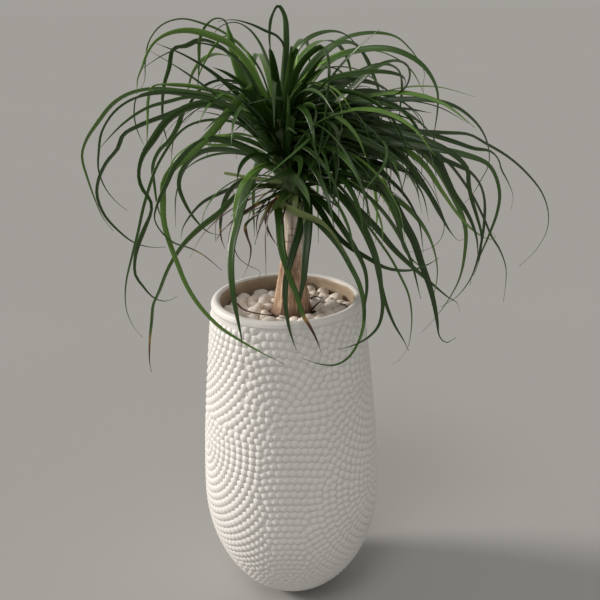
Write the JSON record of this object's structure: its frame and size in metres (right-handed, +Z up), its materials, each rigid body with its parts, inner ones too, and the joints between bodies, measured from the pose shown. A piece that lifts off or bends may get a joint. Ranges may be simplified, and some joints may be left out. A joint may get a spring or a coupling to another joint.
{
  "type": "potted ponytail palm",
  "caption": "Ponytail palm with a flared trunk and a mop of long arching leaves, in a tall rounded white ceramic planter with a dressing of pebbles.",
  "frame": {"origin": "middle of the planter's flat foot, on the surface that it stands on", "axes": "+Z up along the planter's axis; -Y is the side it is looked at from, +X to that viewer's right"},
  "size_m": [0.4593, 0.3564, 0.6021],
  "materials": {
    "pot_ceramic": "satin",
    "potting_mix": "matte",
    "pebble_stone": "satin",
    "trunk_bark": "matte",
    "leaf_blade": "satin"
  },
  "bodies": {
    "root": {"pot": "pot_ceramic", "soil": "potting_mix", "pebbles": "pebble_stone", "trunk": "trunk_bark", "leaf_head": "leaf_blade"}
  },
  "joints": []
}
